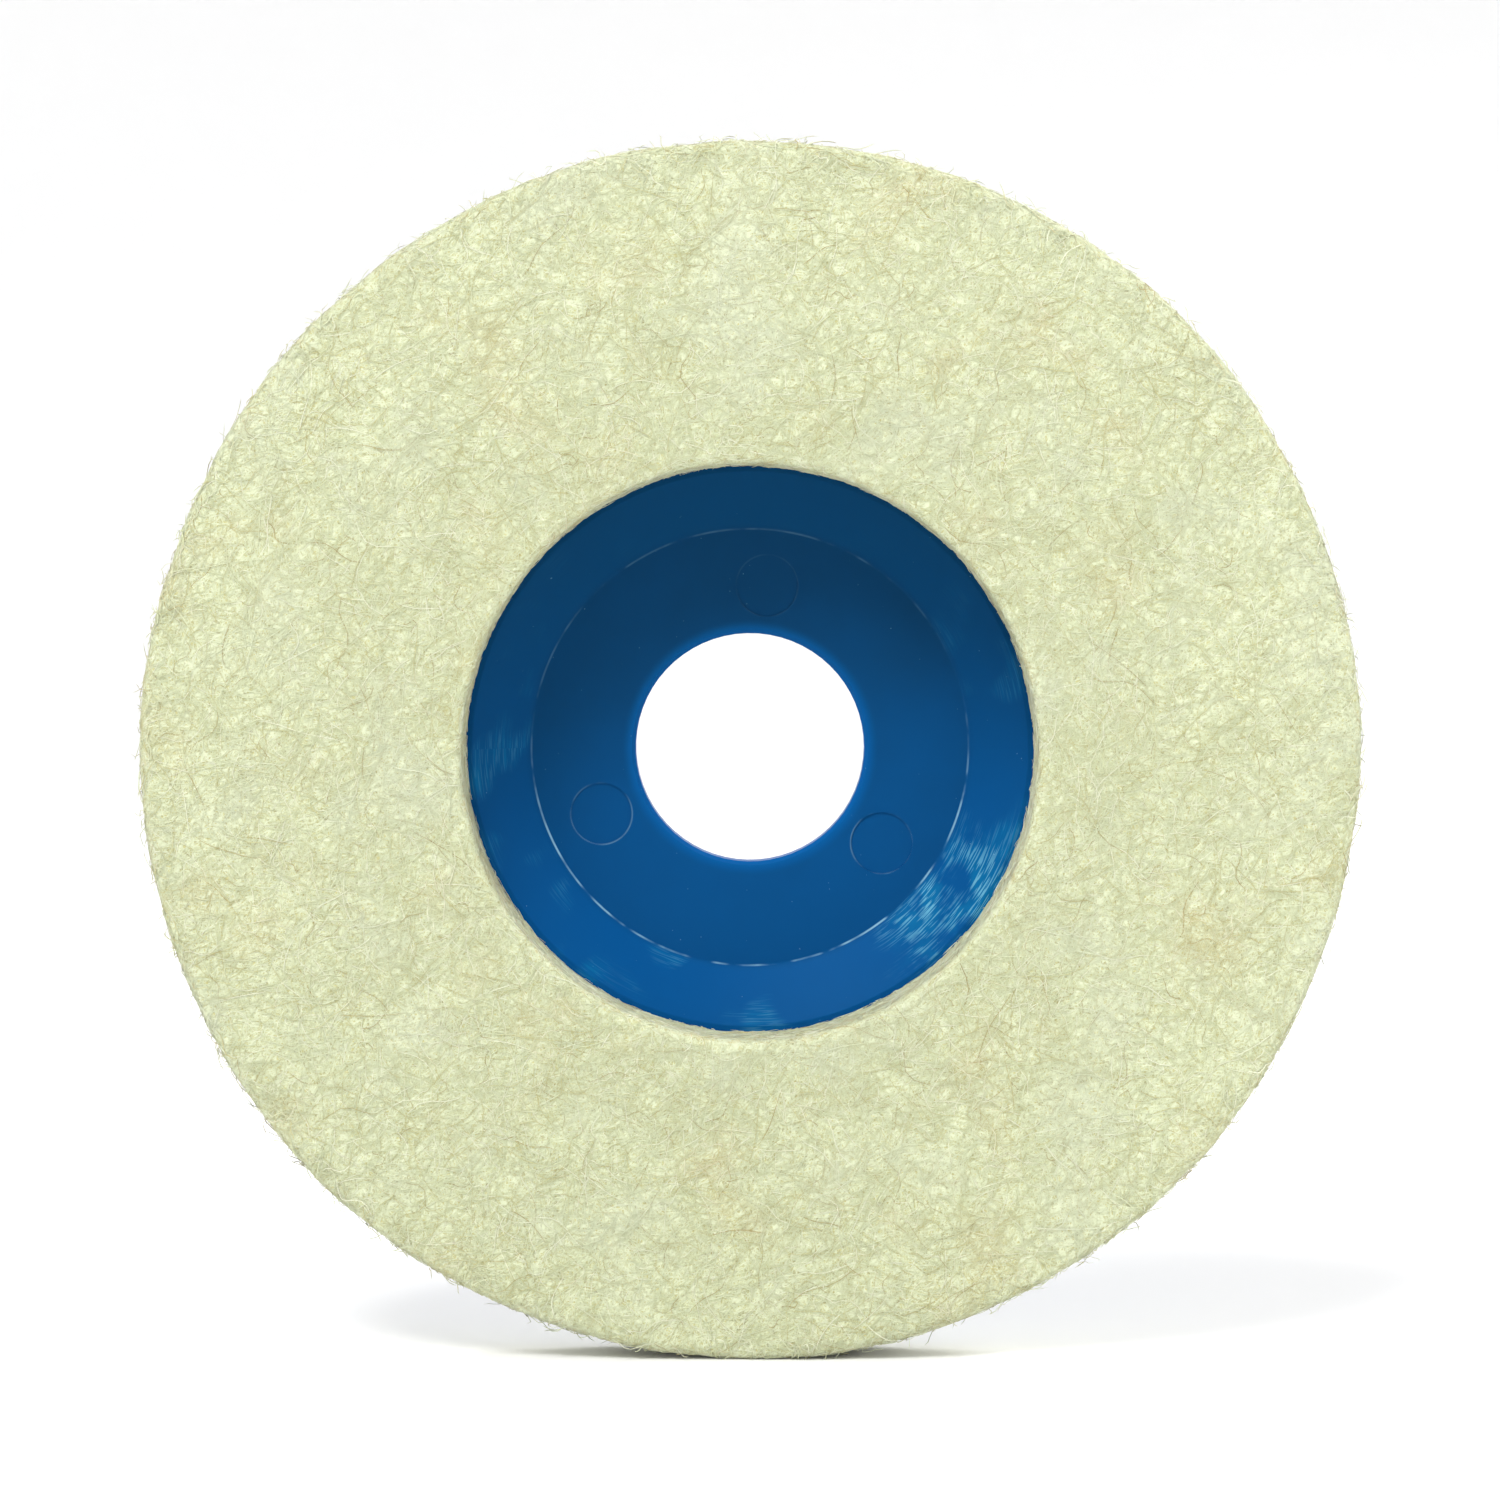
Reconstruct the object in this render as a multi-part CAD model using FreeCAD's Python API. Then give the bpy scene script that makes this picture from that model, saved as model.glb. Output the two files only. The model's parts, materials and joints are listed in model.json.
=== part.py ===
"""Wool felt polishing pad for a small angle grinder: a moulded backing plate with a raised,
hollow hub, a thick felt ring glued under it, the glue film between them, and a printed paper
label on its back.

Millimetres. The spindle axis is Y. The origin is the centre of the bore on the hub's outer
seat, where the grinder's flange bears. +Y points to the grinder, -Y to the work, and +Z is up.
Every piece is turned about the spindle axis, so an outline is a list of (radius, y) points.
"""

import FreeCAD, Part

import math
import os

# ---- Driving dimensions -------------------------------------------------------------------

PAD_DIAMETER = 115.0  # outside of the felt, the size the pad is sold by
FELT_THICKNESS = 8.0
FELT_HOLE_DIAMETER = 54.6
FELT_EDGE_RADIUS = 0.8

BORE_DIAMETER = 22.2  # the arbor of a 115 mm grinder
BORE_CHAMFER = 0.35

PLATE_DIAMETER = 98.0
PLATE_THICKNESS = 1.5
PLATE_EDGE_RADIUS = 0.35

HUB_HEIGHT = 5.3  # from the plate's back to the hub's outer seat
HUB_BASE_DIAMETER = 63.0  # where the hub's cone meets the plate
HUB_SEAT_DIAMETER = 48.6  # flat seat for the grinder's flange
HUB_SHOULDER_RADIUS = 0.9  # rounding between the seat and the cone
HUB_WEB_THICKNESS = 3.0  # plastic between the seat and the recess floor

RECESS_FLOOR_DIAMETER = 42.6  # flat floor for the grinder's clamping nut
RECESS_MOUTH_DIAMETER = 53.4  # on the plate's underside
RECESS_CORNER_RADIUS = 0.5  # rounding between the floor and the recess wall
RECESS_LIP_RADIUS = 0.3  # rounding of the recess mouth

PIN_MARK_COUNT = 3  # witness marks of the mould's ejector pins
PIN_MARK_DIAMETER = 6.0
PIN_MARK_PITCH_DIAMETER = 31.6
PIN_MARK_DEPTH = 0.15
PIN_MARK_FIRST_ANGLE = 84.0  # degrees from +X towards +Z, seen from the work

GLUE_THICKNESS = 0.15
GLUE_SETBACK = 0.3  # how far the glue stops short of the felt's hole and the plate's edge

LABEL_THICKNESS = 0.12
LABEL_INNER_DIAMETER = 63.6
LABEL_OUTER_DIAMETER = 96.6

# ---- Levels along the spindle axis, worked out from the dimensions ------------------------

SEAT_Y = 0.0
RECESS_FLOOR_Y = SEAT_Y - HUB_WEB_THICKNESS
PLATE_BACK_Y = SEAT_Y - HUB_HEIGHT
PLATE_UNDERSIDE_Y = PLATE_BACK_Y - PLATE_THICKNESS
FELT_BACK_Y = PLATE_UNDERSIDE_Y - GLUE_THICKNESS
FELT_FACE_Y = FELT_BACK_Y - FELT_THICKNESS

AXIS_POINT = FreeCAD.Vector(0, 0, 0)
AXIS = FreeCAD.Vector(0, 1, 0)


# ---- Helpers ------------------------------------------------------------------------------


def turned(outline):
    """A solid of revolution about the spindle axis from a closed list of (radius, y) points."""
    points = [FreeCAD.Vector(radius, y, 0) for radius, y in outline]
    face = Part.Face(Part.makePolygon(points + points[:1]))
    return face.revolve(AXIS_POINT, AXIS, 360)


def ring(inner_diameter, outer_diameter, low_y, high_y):
    """A flat ring around the spindle axis."""
    inner, outer = inner_diameter / 2, outer_diameter / 2
    return turned([(inner, low_y), (outer, low_y), (outer, high_y), (inner, high_y)])


def circles_at(shape, radius, y):
    """The solid's circular edges of that radius around the spindle axis at that level."""
    near = 1e-4
    found = []
    for edge in shape.Edges:
        curve = edge.Curve
        if not isinstance(curve, Part.Circle) or abs(curve.Radius - radius) > near:
            continue
        on_axis = math.hypot(curve.Center.x, curve.Center.z) < near
        if on_axis and abs(curve.Center.y - y) < near:
            found.append(edge)
    return found


# ---- Pieces -------------------------------------------------------------------------------


def backing_plate():
    """One moulding: a thin disc, a hollow cone that raises the hub, and the bored hub web."""
    bore, edge = BORE_DIAMETER / 2, PLATE_DIAMETER / 2
    seat, base = HUB_SEAT_DIAMETER / 2, HUB_BASE_DIAMETER / 2
    floor, mouth = RECESS_FLOOR_DIAMETER / 2, RECESS_MOUTH_DIAMETER / 2
    plate = turned(
        [
            (bore, SEAT_Y),
            (seat, SEAT_Y),
            (base, PLATE_BACK_Y),
            (edge, PLATE_BACK_Y),
            (edge, PLATE_UNDERSIDE_Y),
            (mouth, PLATE_UNDERSIDE_Y),
            (floor, RECESS_FLOOR_Y),
            (bore, RECESS_FLOOR_Y),
        ]
    )
    plate = plate.makeFillet(HUB_SHOULDER_RADIUS, circles_at(plate, seat, SEAT_Y))
    plate = plate.makeFillet(PLATE_EDGE_RADIUS, circles_at(plate, edge, PLATE_BACK_Y))
    plate = plate.makeFillet(RECESS_CORNER_RADIUS, circles_at(plate, floor, RECESS_FLOOR_Y))
    plate = plate.makeFillet(RECESS_LIP_RADIUS, circles_at(plate, mouth, PLATE_UNDERSIDE_Y))
    for level in (SEAT_Y, RECESS_FLOOR_Y):
        plate = plate.makeChamfer(BORE_CHAMFER, circles_at(plate, bore, level))
    return plate.cut(pin_marks())


def pin_marks():
    """Shallow round dents in the recess floor, evenly spaced around the bore."""
    marks = []
    for number in range(PIN_MARK_COUNT):
        angle = math.radians(PIN_MARK_FIRST_ANGLE + 360.0 * number / PIN_MARK_COUNT)
        centre = FreeCAD.Vector(
            PIN_MARK_PITCH_DIAMETER / 2 * math.cos(angle),
            RECESS_FLOOR_Y,
            PIN_MARK_PITCH_DIAMETER / 2 * math.sin(angle),
        )
        marks.append(Part.makeCylinder(PIN_MARK_DIAMETER / 2, PIN_MARK_DEPTH, centre, AXIS))
    return Part.makeCompound(marks)


def felt_ring():
    """Pressed wool felt, with its four edges slightly rounded."""
    felt = ring(FELT_HOLE_DIAMETER, PAD_DIAMETER, FELT_FACE_Y, FELT_BACK_Y)
    edges = []
    for diameter in (FELT_HOLE_DIAMETER, PAD_DIAMETER):
        edges += circles_at(felt, diameter / 2, FELT_FACE_Y)
    edges += circles_at(felt, PAD_DIAMETER / 2, FELT_BACK_Y)
    return felt.makeFillet(FELT_EDGE_RADIUS, edges)


def adhesive_film():
    """Hot-melt film that holds the felt to the plate's underside."""
    return ring(
        FELT_HOLE_DIAMETER + 2 * GLUE_SETBACK,
        PLATE_DIAMETER - 2 * GLUE_SETBACK,
        FELT_BACK_Y,
        PLATE_UNDERSIDE_Y,
    )


def back_label():
    """Printed self-adhesive paper ring between the hub's cone and the plate's edge."""
    return ring(
        LABEL_INNER_DIAMETER,
        LABEL_OUTER_DIAMETER,
        PLATE_BACK_Y,
        PLATE_BACK_Y + LABEL_THICKNESS,
    )


PIECES = {
    "backing_plate": backing_plate,
    "felt_ring": felt_ring,
    "adhesive_film": adhesive_film,
    "back_label": back_label,
}

os.makedirs("parts", exist_ok=True)
for name, make in PIECES.items():
    piece = make()
    piece.exportStep(f"parts/{name}.step")
    box = piece.optimalBoundingBox()
    size = f"{box.XLength:.2f} x {box.YLength:.2f} x {box.ZLength:.2f} mm"
    print(f"{name}: {size}, valid {piece.isValid()}")
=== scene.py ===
"""Looks of the wool felt polishing pad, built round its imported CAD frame.

Metres, in the row's frame. The spindle axis is Y. The felt face looks along -Y, the hub and its
label look along +Y, and the pad stands on its rim with +Z up.

The moulded plate and the glue film keep their CAD meshes and get their materials here. The felt
ring is rebuilt as a soft displaced mesh with thousands of loose wool fibres lying on it. The
label is rebuilt as one thin printed sheet.
"""

import json
import math

import bpy
import mathutils
import numpy as np
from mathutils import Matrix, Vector


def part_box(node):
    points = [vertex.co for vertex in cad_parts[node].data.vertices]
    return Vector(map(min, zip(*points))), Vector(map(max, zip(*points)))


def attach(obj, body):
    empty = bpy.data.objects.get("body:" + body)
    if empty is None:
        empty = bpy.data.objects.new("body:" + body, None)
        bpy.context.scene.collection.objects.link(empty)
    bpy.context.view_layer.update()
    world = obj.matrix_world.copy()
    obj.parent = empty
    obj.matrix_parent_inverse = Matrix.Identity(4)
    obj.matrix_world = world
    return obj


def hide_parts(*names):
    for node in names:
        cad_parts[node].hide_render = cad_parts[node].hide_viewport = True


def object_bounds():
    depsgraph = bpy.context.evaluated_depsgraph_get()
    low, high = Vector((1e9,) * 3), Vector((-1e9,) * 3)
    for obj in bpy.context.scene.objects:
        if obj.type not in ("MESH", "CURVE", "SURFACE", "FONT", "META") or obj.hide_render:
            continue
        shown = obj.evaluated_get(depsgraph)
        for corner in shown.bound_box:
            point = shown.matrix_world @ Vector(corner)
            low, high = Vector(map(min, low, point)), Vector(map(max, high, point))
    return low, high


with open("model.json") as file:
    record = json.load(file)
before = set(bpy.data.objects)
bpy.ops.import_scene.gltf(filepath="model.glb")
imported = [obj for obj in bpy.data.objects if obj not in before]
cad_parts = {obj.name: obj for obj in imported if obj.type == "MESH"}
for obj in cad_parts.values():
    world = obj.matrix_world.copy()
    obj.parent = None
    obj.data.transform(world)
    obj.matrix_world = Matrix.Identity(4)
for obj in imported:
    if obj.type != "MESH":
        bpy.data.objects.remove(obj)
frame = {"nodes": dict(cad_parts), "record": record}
bpy.context.view_layer.update()
cad_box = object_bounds()

MM = 0.001

# ---- Sizes read from the frame ------------------------------------------------------------


def cad_rings(node):
    """The CAD node's vertices as two arrays: distance from the spindle axis, and y."""
    mesh = frame["nodes"][node].data
    points = np.array([v.co for v in mesh.vertices])
    return np.hypot(points[:, 0], points[:, 2]), points[:, 1]


def radii_at(node, level):
    """Smallest and largest radius of the CAD node's vertices at one level of y."""
    radius, y = cad_rings(node)
    near = np.abs(y - level) < 0.01 * MM
    return float(radius[near].min()), float(radius[near].max())


MOUNTS = {mount["name"]: mount for mount in frame["record"]["mounts"]}
BORE_RADIUS = MOUNTS["bore"]["dims"]["r_mm"] * MM
NUT_SEAT_Y = MOUNTS["nut_seat"]["pos_m"][1]

FELT_LOW, FELT_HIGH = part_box("felt_ring")
FELT_FACE_Y, FELT_BACK_Y = FELT_LOW.y, FELT_HIGH.y
FELT_RADIUS = FELT_HIGH.z
FELT_HOLE_RADIUS = float(cad_rings("felt_ring")[0].min())

PLATE_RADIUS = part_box("backing_plate")[1].z
RECESS_FLOOR_RADIUS = radii_at("backing_plate", NUT_SEAT_Y)[1]
HUB_SEAT_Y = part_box("backing_plate")[1].y
HUB_SEAT_RADIUS = radii_at("backing_plate", HUB_SEAT_Y)[1]

LABEL_LOW, LABEL_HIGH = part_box("back_label")
LABEL_INNER, LABEL_OUTER = radii_at("back_label", LABEL_HIGH.y)


# ---- Meshes -------------------------------------------------------------------------------


def new_piece(name, points, faces, materials, slots=None):
    """A mesh object of the pad. faces is a list of integer arrays, one row of corners a face."""
    mesh = bpy.data.meshes.new(name)
    corners = np.concatenate([rows.ravel() for rows in faces]).astype(np.int32)
    sizes = np.concatenate([np.full(len(rows), rows.shape[1]) for rows in faces])
    mesh.vertices.add(len(points))
    mesh.vertices.foreach_set("co", np.asarray(points, np.float32).ravel())
    mesh.loops.add(len(corners))
    mesh.loops.foreach_set("vertex_index", corners)
    mesh.polygons.add(len(sizes))
    starts = np.concatenate([[0], np.cumsum(sizes)[:-1]])
    mesh.polygons.foreach_set("loop_start", starts.astype(np.int32))
    for material in materials:
        mesh.materials.append(material)
    if slots is not None:
        mesh.polygons.foreach_set("material_index", np.asarray(slots, np.int32))
    mesh.update(calc_edges=True)
    mesh.validate()
    piece = bpy.data.objects.new(name, mesh)
    bpy.context.scene.collection.objects.link(piece)
    return piece


def ride(piece):
    """Fixes a finished piece to the pad's one body."""
    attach(piece, "root")


def ripples(points, wavelength, seed, waves=28):
    """A smooth random field of unit spread: plane waves of one length in random directions."""
    random = np.random.default_rng(seed)
    directions = random.normal(size=(waves, 3))
    directions /= np.linalg.norm(directions, axis=1)[:, None]
    phases = random.uniform(0, 2 * math.pi, waves)
    angles = points @ directions.T * (2 * math.pi / wavelength) + phases
    return np.cos(angles).sum(axis=1) * math.sqrt(2 / waves)


# ---- Material helpers ---------------------------------------------------------------------


def linear(red, green, blue):
    """A colour given as sRGB numbers up to 255, as the linear colour that nodes take."""
    shares = [value / 255 for value in (red, green, blue)]
    parts = [s / 12.92 if s <= 0.04045 else ((s + 0.055) / 1.055) ** 2.4 for s in shares]
    return (*parts, 1.0)


def grey(level):
    """A neutral colour of that linear level."""
    return (level, level, level, 1.0)


class Nodes:
    """One material's node tree, with short names for the nodes used here."""

    def __init__(self, name):
        self.material = bpy.data.materials.new(name)
        self.material.use_nodes = True
        self.tree = self.material.node_tree
        self.shader = self.tree.nodes["Principled BSDF"]
        self.place = self.add("TexCoord").outputs["Object"]

    def put(self, socket, value):
        """Links a socket to another node's output, or sets its plain value."""
        if isinstance(value, bpy.types.NodeSocket):
            self.tree.links.new(value, socket)
        else:
            socket.default_value = value

    def add(self, kind, inputs=None, **settings):
        """A new node of a kind, with its inputs by name or number and its settings."""
        node = self.tree.nodes.new("ShaderNode" + kind)
        for key, value in settings.items():
            setattr(node, key, value)
        for key, value in (inputs or {}).items():
            self.put(node.inputs[key], value)
        return node

    def finish(self, **inputs):
        """Sets the shader's inputs, with _ for a space in their names."""
        for key, value in inputs.items():
            self.put(self.shader.inputs[key.replace("_", " ")], value)
        return self.material

    def maths(self, operation, *values):
        """The result of a maths operation on these values."""
        node = self.add("Math", operation=operation)
        for socket, value in zip(node.inputs, values):
            self.put(socket, value)
        return node.outputs[0]

    def times(self, first, second):
        """The product of two values."""
        return self.maths("MULTIPLY", first, second)

    def length(self, first, second):
        """Length of the flat arrow with these two parts."""
        squares = [self.times(value, value) for value in (first, second)]
        return self.maths("SQRT", self.maths("ADD", *squares))

    def off(self, value, middle):
        """How far the value is from the middle, on either side."""
        return self.maths("ABSOLUTE", self.maths("SUBTRACT", value, middle))

    def noise(self, size, detail=2.0, roughness=0.5, seed=0.0):
        """Noise from 0 to 1 whose blobs are about size metres across."""
        inputs = {
            "Scale": 1 / size,
            "Detail": detail,
            "Roughness": roughness,
            "Vector": self.shifted(self.place, seed * size),
        }
        return self.add("TexNoise", inputs).outputs["Fac"]

    def shifted(self, place, distance):
        """The place moved along a slant, so that layers of one noise don't line up."""
        if not distance:
            return place
        slant = (distance * 7.3, distance * 11.7, distance * 5.9)
        return self.add("VectorMath", {0: place, 1: slant}, operation="ADD").outputs[0]

    def step(self, value, low, high):
        """0 below low, 1 above high, smooth between. low above high turns it round."""
        inputs = {"Value": value, "From Min": low, "From Max": high}
        return self.add("MapRange", inputs, interpolation_type="SMOOTHSTEP").outputs["Result"]

    def mix(self, share, first, second, blend="MIX"):
        """The first colour with a share, from 0 to 1, of the second."""
        node = self.add("Mix", data_type="RGBA", blend_type=blend)
        self.put(node.inputs[0], share)
        self.put(node.inputs[6], first)
        self.put(node.inputs[7], second)
        return node.outputs[2]

    def streaks(self, place, turn, length, width, seed):
        """Long thin ridges from 0 to 1 that run one way over a flat place."""
        inputs = {
            "Vector": self.shifted(place, seed),
            "Rotation": (0, 0, turn),
            "Scale": (length, width, 1),
        }
        stretched = self.add("Mapping", inputs, vector_type="TEXTURE").outputs[0]
        inputs = {"Vector": stretched, "Scale": 1.0, "Detail": 0.0}
        ridges = self.add("TexNoise", inputs, noise_dimensions="2D").outputs["Fac"]
        return self.step(ridges, 0.5, 0.72)

    def bump(self, height, depth, strength):
        """Surface directions bent by a height from 0 to 1 that stands depth metres proud."""
        inputs = {"Height": height, "Distance": depth, "Strength": strength}
        return self.add("Bump", inputs).outputs["Normal"]


# ---- Wool felt ----------------------------------------------------------------------------

# painted shade in the low places between the strands
FELT_GROUND_PAINTED_SHADE = linear(196, 193, 142)
FELT_COLOUR = linear(203, 209, 170)
FELT_LIGHT = linear(217, 223, 190)
FELT_PALE = linear(216, 222, 196)
FELT_OCHRE = linear(212, 190, 134)
FELT_SPECK = linear(150, 140, 90)
FELT_BACK_TINT = linear(242, 252, 244)

FIBRE_SHADES = (  # from the darkest stray fibre to the whitest, with each one's share
    (linear(168, 152, 104), 0.02),
    (linear(198, 196, 146), 0.14),
    (linear(207, 212, 171), 0.36),
    (linear(217, 223, 187), 0.34),
    (linear(232, 234, 208), 0.14),
)
SHADE_BLEND = 0.02  # how far two neighbouring shades run into each other

FACE_EDGE_RADIUS = 0.95 * MM  # roundings of the felt's exposed edges
BACK_EDGE_RADIUS = 1.3 * MM
HOLE_EDGE_RADIUS = 0.7 * MM
FELT_TUCK = 1.0 * MM  # how far the modelled outside reaches under the plate
FELT_GRID = 0.44 * MM  # spacing of the felt mesh's points along its outline
FELT_STEPS_ROUND = 720

CLOUD_SIZE = 11 * MM  # wide changes of the wool's tint
FLECK_SIZE = 1.1 * MM  # ochre flecks on the felt's cut side
SPECK_SIZE = 0.4 * MM  # dark specks in the felt's ground

PEELED = "peeled_flat"  # the felt mesh's attribute with its skin's places when peeled off
STRAND_LAYERS = 5
STRAND_LAYER_DROP = 0.08  # how much lower each layer lies than the one before
STRAND_LENGTH = 1.2 * MM
STRAND_WIDTH = 0.13 * MM
STRAND_SWAY = 1.0 * MM  # how far the strands swing from straight, over about STRAND_BEND
STRAND_BEND = 3.4 * MM

FELT_LUMPS = (  # height, width and seed of each size of unevenness in the felt's surface
    (0.07 * MM, 30 * MM, 11),
    (0.035 * MM, 7 * MM, 12),
    (0.01 * MM, 2.6 * MM, 13),
    (0.006 * MM, 1.2 * MM, 14),
)
LUMPS_FADE_IN = 1.0 * MM  # along the outline, from the glue film in the hole
LUMPS_FADE_OUT = 2.0 * MM  # and towards the tucked edge under the plate


def wool_tint(nodes, colour):
    """The colour, paler or yellower in wide soft clouds, ochre-flecked on the felt's cut side and
    whitest on the side of the plate."""
    cloud = nodes.noise(CLOUD_SIZE, 2.0, seed=2.0)
    colour = nodes.mix(nodes.times(nodes.step(cloud, 0.54, 0.74), 0.25), colour, FELT_OCHRE)
    colour = nodes.mix(nodes.times(nodes.step(cloud, 0.5, 0.3), 0.5), colour, FELT_PALE)
    normal = nodes.add("NewGeometry").outputs["True Normal"]
    facing = nodes.add("SeparateXYZ", {0: normal}).outputs["Y"]
    sideways = nodes.step(nodes.maths("ABSOLUTE", facing), 0.8, 0.4)
    flecks = nodes.step(nodes.noise(FLECK_SIZE, 3.0, roughness=0.7, seed=3.0), 0.4, 0.68)
    colour = nodes.mix(nodes.times(nodes.times(sideways, flecks), 0.6), colour, FELT_OCHRE)
    return nodes.mix(nodes.times(nodes.step(facing, 0.1, 0.8), 0.95), colour, FELT_BACK_TINT)


def matted_strands(nodes):
    """Height from 0 to 1 of pressed fibres that cross one another in every direction."""
    place = nodes.add("Attribute", attribute_name=PEELED).outputs["Vector"]
    inputs = {"Vector": place, "Scale": 1 / STRAND_BEND, "Detail": 1.0}
    sway = nodes.add("TexNoise", inputs, noise_dimensions="2D").outputs["Color"]
    inputs = {0: sway, 1: (STRAND_SWAY,) * 3, 2: place}
    place = nodes.add("VectorMath", inputs, operation="MULTIPLY_ADD").outputs[0]
    height = 0.0
    for layer in range(STRAND_LAYERS):
        turn = math.pi * layer / STRAND_LAYERS
        streak = nodes.streaks(place, turn, STRAND_LENGTH, STRAND_WIDTH, seed=(layer + 1) * MM)
        lowered = nodes.times(streak, 1 - STRAND_LAYER_DROP * layer)
        height = nodes.maths("MAXIMUM", lowered, height)
    return height


def wool_felt():
    """Pressed cream wool: pale crossing strands over a darker ground of painted shade, with a few
    specks.
    """
    nodes = Nodes("wool_felt")
    height = matted_strands(nodes)
    # painted shade: the low places between the strands take the darker ground colour
    colour = nodes.mix(nodes.step(height, 0.0, 0.35), FELT_GROUND_PAINTED_SHADE, wool_tint(nodes, FELT_COLOUR))
    colour = nodes.mix(nodes.step(height, 0.45, 0.95), colour, FELT_LIGHT)
    specks = nodes.step(nodes.noise(SPECK_SIZE, 1.0, seed=9.0), 0.61, 0.71)
    colour = nodes.mix(nodes.times(specks, 0.45), colour, FELT_SPECK)
    return nodes.finish(
        Base_Color=colour,
        Roughness=0.95,
        Specular_IOR_Level=0.1,
        Sheen_Weight=0.2,
        Sheen_Roughness=0.5,
        Normal=nodes.bump(height, 0.05 * MM, 0.6),
    )


def loose_wool():
    """Single wool fibres, each of its own shade."""
    nodes = Nodes("loose_wool")
    lot = nodes.add("NewGeometry").outputs["Random Per Island"]
    colour, reached = FIBRE_SHADES[0]
    for shade, share in FIBRE_SHADES[1:]:
        past = nodes.step(lot, reached - SHADE_BLEND, reached + SHADE_BLEND)
        colour = nodes.mix(past, colour, shade)
        reached += share
    return nodes.finish(
        Base_Color=wool_tint(nodes, colour),
        Roughness=0.7,
        Specular_IOR_Level=0.2,
        Sheen_Weight=0.2,
    )


def arc(centre_radius, centre_y, radius, first, last, steps=8):
    """Points of an arc in the (radius, y) plane, angles in degrees."""
    angles = np.radians(np.linspace(first, last, steps))
    return [(centre_radius + radius * math.cos(a), centre_y + radius * math.sin(a)) for a in angles]


def felt_outline():
    """The felt's exposed outline from the hole's back edge, over the face, to under the plate.

    Returns radius, y, the outward direction's two parts and the distance along the outline.
    """
    hole, face, back, rim = HOLE_EDGE_RADIUS, FACE_EDGE_RADIUS, BACK_EDGE_RADIUS, FELT_RADIUS
    corners = [(FELT_HOLE_RADIUS, FELT_BACK_Y)]
    corners += arc(FELT_HOLE_RADIUS + hole, FELT_FACE_Y + hole, hole, 180, 270)
    corners += arc(rim - face, FELT_FACE_Y + face, face, 270, 360)
    corners += arc(rim - back, FELT_BACK_Y - back, back, 0, 90)
    corners += [(PLATE_RADIUS - FELT_TUCK, FELT_BACK_Y)]
    corners = np.array(corners)
    walked = np.concatenate([[0], np.cumsum(np.linalg.norm(np.diff(corners, axis=0), axis=1))])
    along = np.linspace(0, walked[-1], round(walked[-1] / FELT_GRID) + 1)
    radius = np.interp(along, walked, corners[:, 0])
    y = np.interp(along, walked, corners[:, 1])
    slope = np.gradient(np.stack([radius, y], axis=1), along, axis=0)
    slope /= np.linalg.norm(slope, axis=1)[:, None]
    return radius, y, slope[:, 1], -slope[:, 0], along


OUTLINE_RADIUS, OUTLINE_Y, OUT_RADIAL, OUT_Y, ALONG = felt_outline()


def along_at(radius, y):
    """Distance along the outline of its point nearest to (radius, y)."""
    return float(ALONG[np.argmin((OUTLINE_RADIUS - radius) ** 2 + (OUTLINE_Y - y) ** 2)])


def felt_lumps(points, along):
    """How far the felt's surface stands proud of its plain outline at these points."""
    lumps = sum(height * ripples(points, width, seed) for height, width, seed in FELT_LUMPS)
    fade_in = np.clip(along / LUMPS_FADE_IN, 0, 1)
    fade_out = np.clip((ALONG[-1] - along) / LUMPS_FADE_OUT, 0, 1)
    return lumps * fade_in * fade_out


def on_felt(angle, along, height=0.0):
    """Points of the felt's surface and the outward directions there."""
    radius = np.interp(along, ALONG, OUTLINE_RADIUS)
    y = np.interp(along, ALONG, OUTLINE_Y)
    radial = np.interp(along, ALONG, OUT_RADIAL)
    out_y = np.interp(along, ALONG, OUT_Y)
    around = np.stack([np.cos(angle), np.zeros_like(angle), np.sin(angle)], axis=-1)
    outward = around * radial[..., None]
    outward[..., 1] = out_y
    points = around * radius[..., None]
    points[..., 1] = y
    flat = points.reshape(-1, 3)
    lumps = felt_lumps(flat, along.reshape(-1)).reshape(along.shape)
    return points + outward * (lumps + height)[..., None], outward


def peeled_flat(angle, along):
    """Places of the felt's skin as if it were peeled off and spread flat around the hole."""
    hole_wall = along_at(FELT_HOLE_RADIUS, FELT_FACE_Y)
    radius = FELT_HOLE_RADIUS + along - hole_wall
    return np.stack([radius * np.cos(angle), radius * np.sin(angle), 0 * angle], axis=-1)


def felt_body(material):
    """The felt ring itself, as a closed mesh that ends flush under the glue film."""
    angles = np.linspace(0, 2 * math.pi, FELT_STEPS_ROUND, endpoint=False)
    rows = len(ALONG)
    angle, along = np.meshgrid(angles, ALONG, indexing="ij")
    points, _ = on_felt(angle, along)
    index = np.arange(FELT_STEPS_ROUND * rows).reshape(FELT_STEPS_ROUND, rows)
    following = np.roll(index, -1, axis=0)
    upper = np.roll(index, -1, axis=1)
    upper_following = np.roll(following, -1, axis=1)
    quads = np.stack([index, upper, upper_following, following], axis=-1).reshape(-1, 4)
    piece = new_piece("felt_body", points.reshape(-1, 3), [quads], [material])
    piece.data.shade_smooth()
    places = piece.data.attributes.new(PEELED, "FLOAT_VECTOR", "POINT")
    places.data.foreach_set("vector", peeled_flat(angle, along).ravel())
    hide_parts("felt_ring")
    ride(piece)


FIBRE_RINGS = 6  # three-sided rings between a fibre's two pointed ends
FIBRE_SIDES = 3
FIBRE_WAVES = 1.2  # how often a fibre swings to and fro over its length
FIBRE_SOFTNESS = 0.6  # how far a fibre's shading follows the felt, as wool lets light through


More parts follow.
